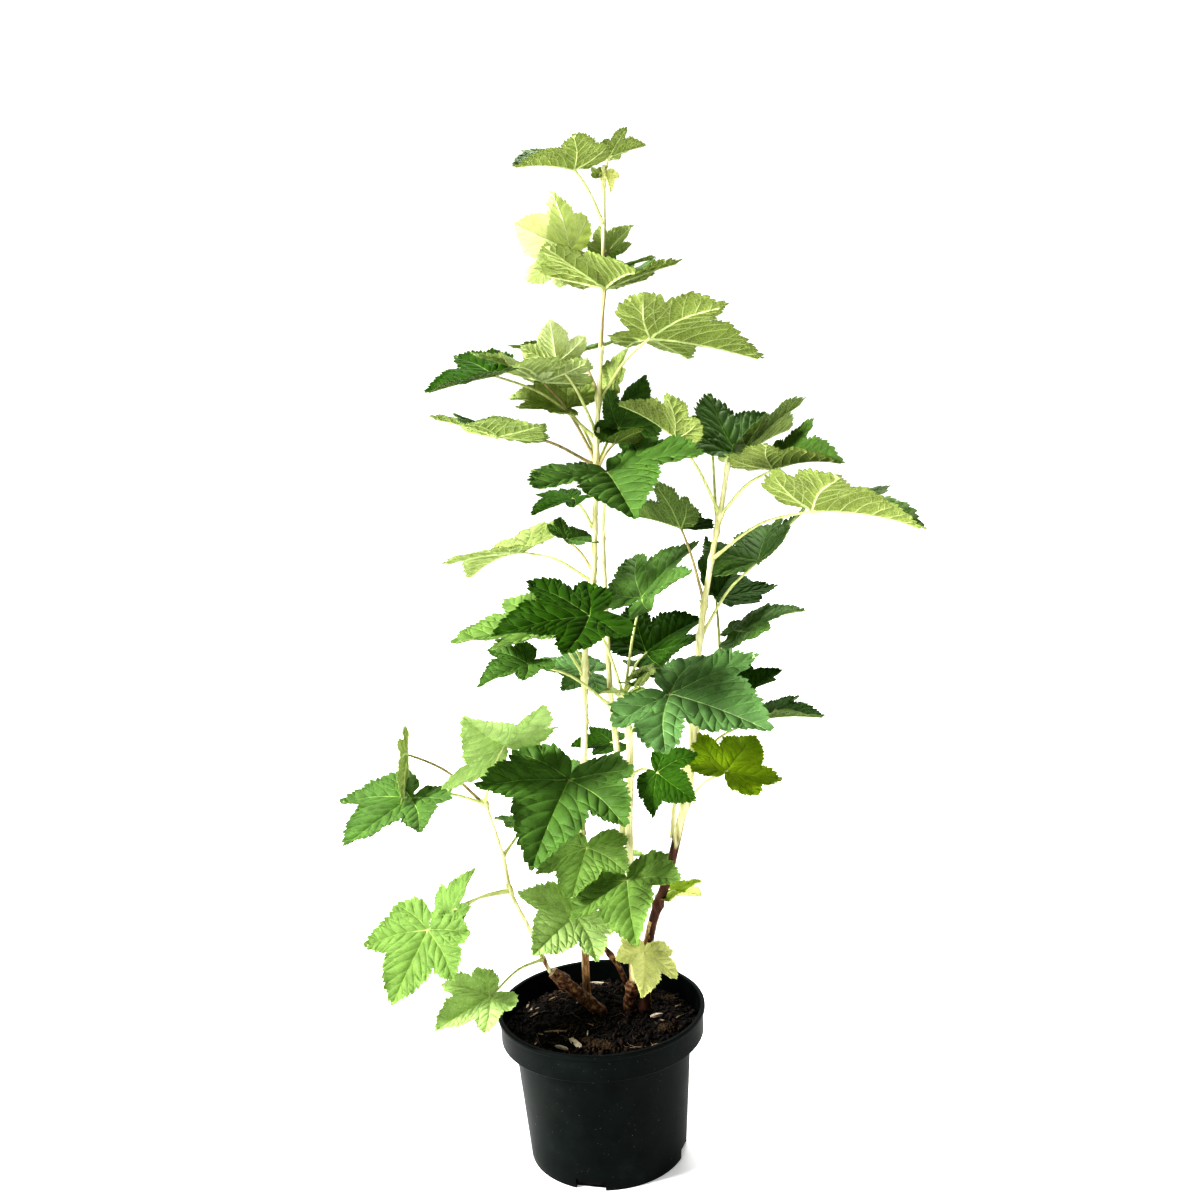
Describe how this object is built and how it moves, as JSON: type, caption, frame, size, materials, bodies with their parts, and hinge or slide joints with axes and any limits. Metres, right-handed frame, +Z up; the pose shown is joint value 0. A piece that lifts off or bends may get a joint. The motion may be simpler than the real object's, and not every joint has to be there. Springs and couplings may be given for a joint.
{
  "type": "potted fruit bush",
  "caption": "Young blackcurrant bush with tall thin stems and large lobed leaves in a round black plastic nursery pot filled with compost.",
  "frame": {"origin": "middle of the flat underside of the pot", "axes": "+Z up; +X to the right of the pictured front, +Y away from the viewer"},
  "size_m": [0.4945, 0.2728, 0.9052],
  "materials": {
    "pot": "satin near-black plastic, a little dusty",
    "soil": "moist dark compost with fibres and chips",
    "old_wood": "rough brown bark",
    "young_wood": "smooth pale cream and green bark",
    "leaf_green": "dull green leaf with a net of veins",
    "leaf_light": "fresh light green leaf with a net of veins"
  },
  "bodies": {
    "root": {"pot": "pot", "soil": "soil", "stub_left": "old_wood", "stump_front": "old_wood", "dead_twig": "old_wood", "stem_tall": "young_wood", "stem_middle": "young_wood", "stem_front": "young_wood", "stem_right": "young_wood", "stem_side": "young_wood", "foliage_tall_1": "leaf_light", "foliage_tall_2": "leaf_green", "foliage_tall_3": "leaf_green", "foliage_tall_4": "leaf_green", "foliage_tall_5": "leaf_green", "foliage_middle_1": "leaf_green", "foliage_front_1": "leaf_light", "foliage_front_2": "leaf_green", "foliage_right_1": "leaf_light", "foliage_right_2": "leaf_green", "foliage_right_3": "leaf_green", "foliage_right_4": "leaf_green", "foliage_side_1": "leaf_green", "foliage_left_1": "leaf_light", "foliage_left_2": "leaf_light"}
  },
  "joints": []
}
